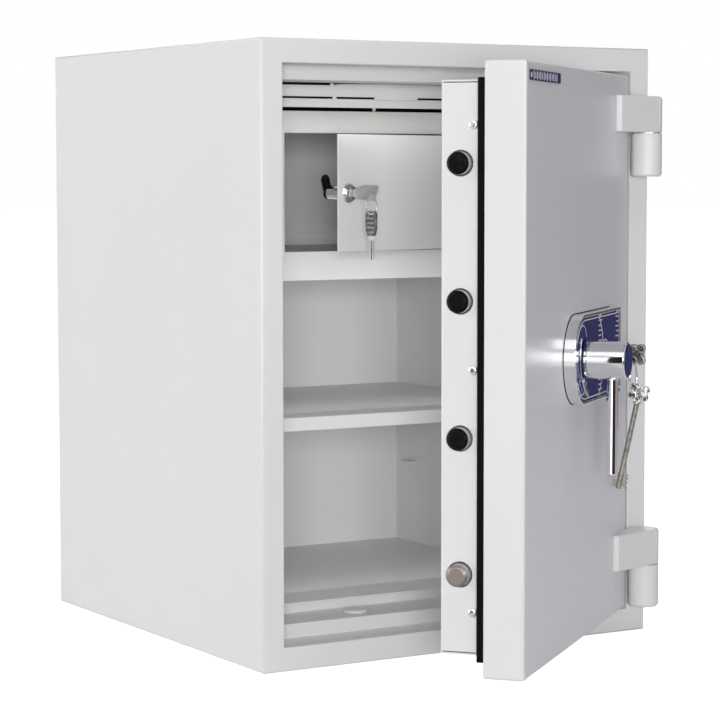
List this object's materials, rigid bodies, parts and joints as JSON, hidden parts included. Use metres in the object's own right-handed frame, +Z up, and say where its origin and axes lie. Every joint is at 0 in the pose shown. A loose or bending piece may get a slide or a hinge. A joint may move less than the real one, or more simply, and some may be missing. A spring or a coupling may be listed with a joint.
{
  "type": "fireproof safe",
  "caption": "Double-walled safe with a stepped frame, swung door, rack-driven round bolts, quarter-turn lever, double-bit key, shelf and lockable upper compartment.",
  "frame": {"origin": "middle of the underside of the cabinet, which rests on the ground", "axes": "+Z up, the cabinet's front faces -Y, +X to the right as seen from the front"},
  "size_m": [0.491, 0.7988, 0.65],
  "materials": {
    "body_paint": "light grey powder coat",
    "inside_paint": "light grey enamel",
    "cast_filling": "cast mineral filling",
    "plain_steel": "zinc plated",
    "bright_chrome": "polished",
    "navy_enamel": "gloss enamel",
    "key_nickel": "worn nickel",
    "yellow_zinc": "yellow zinc plated",
    "dark_metal": "blackened",
    "fire_seal": "matt expanding seal"
  },
  "bodies": {
    "cabinet": {"outer_shell": "body_paint", "door_frame": "body_paint", "throat_collar": "body_paint", "inner_liner": "inside_paint", "insulation_fill": "cast_filling", "bolt_keeper": "plain_steel", "dog_keeper": "plain_steel", "tack_welds": "plain_steel", "anchor_sleeves": "plain_steel", "anchor_caps": "body_paint", "shelf": "inside_paint", "shelf_tabs": "inside_paint", "locker_front": "inside_paint", "locker_floor": "inside_paint", "locker_pins": "plain_steel", "hinge_barrels": "body_paint", "hinge_pins": "plain_steel", "hinge_washers": "plain_steel"},
    "door": {"hinge_straps": "body_paint", "door_skin": "body_paint", "door_fill": "cast_filling", "door_back_plate": "inside_paint", "mechanism_plate": "plain_steel", "fire_seal": "fire_seal", "heat_strip": "bright_chrome", "inner_cover": "inside_paint", "cover_end_plates": "inside_paint", "cover_screws": "plain_steel", "bolt_guide_bar": "plain_steel", "dog_bar": "plain_steel", "fixed_dogs": "plain_steel", "carriage_studs": "plain_steel", "lock_case": "plain_steel", "key_tube": "plain_steel", "spindle_bushing": "yellow_zinc", "handle_plate_rim": "bright_chrome", "handle_plate_face": "navy_enamel", "badge_plate": "navy_enamel"},
    "handle": {"handle_hub": "bright_chrome", "handle_lever": "bright_chrome", "handle_cap": "navy_enamel", "handle_spindle": "plain_steel", "pinion": "yellow_zinc"},
    "bolt_work": {"bolt_carriage": "yellow_zinc", "locking_bolts": "plain_steel"},
    "lock_slide": {"lock_bolt": "yellow_zinc"},
    "key": {"main_key": "key_nickel"},
    "ring": {"key_ring": "bright_chrome"},
    "second_key": {"hanging_key": "key_nickel"},
    "small_door": {"locker_door": "inside_paint", "locker_lock_body": "bright_chrome"},
    "small_key": {"locker_lock_plug": "bright_chrome", "locker_lock_cam": "dark_metal", "locker_key": "key_nickel"},
    "small_ring": {"locker_key_ring": "bright_chrome"},
    "small_second_key": {"locker_hanging_key": "dark_metal"}
  },
  "joints": [
    {"name": "door_swing", "type": "hinge", "parent": "cabinet", "child": "door", "pos_m": [0.229, -0.272, 0.3], "axis": [0, 0, 1], "range_deg": [-40.2, 139.8]},
    {"name": "handle_turn", "type": "hinge", "parent": "door", "child": "handle", "pos_m": [0.02255, -0.42355, 0.3248], "axis": [0.6455, -0.7638, 0], "range_deg": [-90, 0]},
    {"name": "bolt_slide", "type": "slide", "parent": "door", "child": "bolt_work", "axis": [-0.7638, -0.6455, 0], "range_m": [0, 0.02]},
    {"name": "key_turn", "type": "hinge", "parent": "door", "child": "key", "pos_m": [0.08939, -0.36707, 0.3248], "axis": [0.6455, -0.7638, 0], "range_deg": [0, 90]},
    {"name": "lock_slide_move", "type": "slide", "parent": "door", "child": "lock_slide", "axis": [0, 0, -1], "range_m": [0, 0.01]},
    {"name": "key_ring_swing", "type": "hinge", "parent": "key", "child": "ring", "pos_m": [0.11643, -0.39907, 0.3172], "axis": [0.7638, 0.6455, 0], "range_deg": [-60, 4]},
    {"name": "second_key_swing", "type": "hinge", "parent": "ring", "child": "second_key", "pos_m": [0.11643, -0.39907, 0.2837], "axis": [0.7638, 0.6455, 0], "range_deg": [-70, 4]},
    {"name": "small_door_swing", "type": "hinge", "parent": "cabinet", "child": "small_door", "pos_m": [0.184, -0.031, 0.49], "axis": [0, 0, 1], "range_deg": [-18.6, 31]},
    {"name": "small_key_turn", "type": "hinge", "parent": "small_door", "child": "small_key", "pos_m": [-0.06225, -0.11915, 0.49125], "axis": [0.319, -0.9478, 0], "range_deg": [0, 90]},
    {"name": "small_ring_swing", "type": "hinge", "parent": "small_key", "child": "small_ring", "pos_m": [-0.05172, -0.15042, 0.48605], "axis": [0.9478, 0.319, 0], "range_deg": [-50, 8]},
    {"name": "small_second_key_swing", "type": "hinge", "parent": "small_ring", "child": "small_second_key", "pos_m": [-0.05172, -0.15042, 0.46795], "axis": [0.9478, 0.319, 0], "range_deg": [-60, 10]}
  ],
  "couplings": [
    {"joint": "bolt_slide", "follows": "handle_turn", "m_per_rad": -0.012732},
    {"joint": "lock_slide_move", "follows": "key_turn", "m_per_rad": 0.0063661}
  ]
}
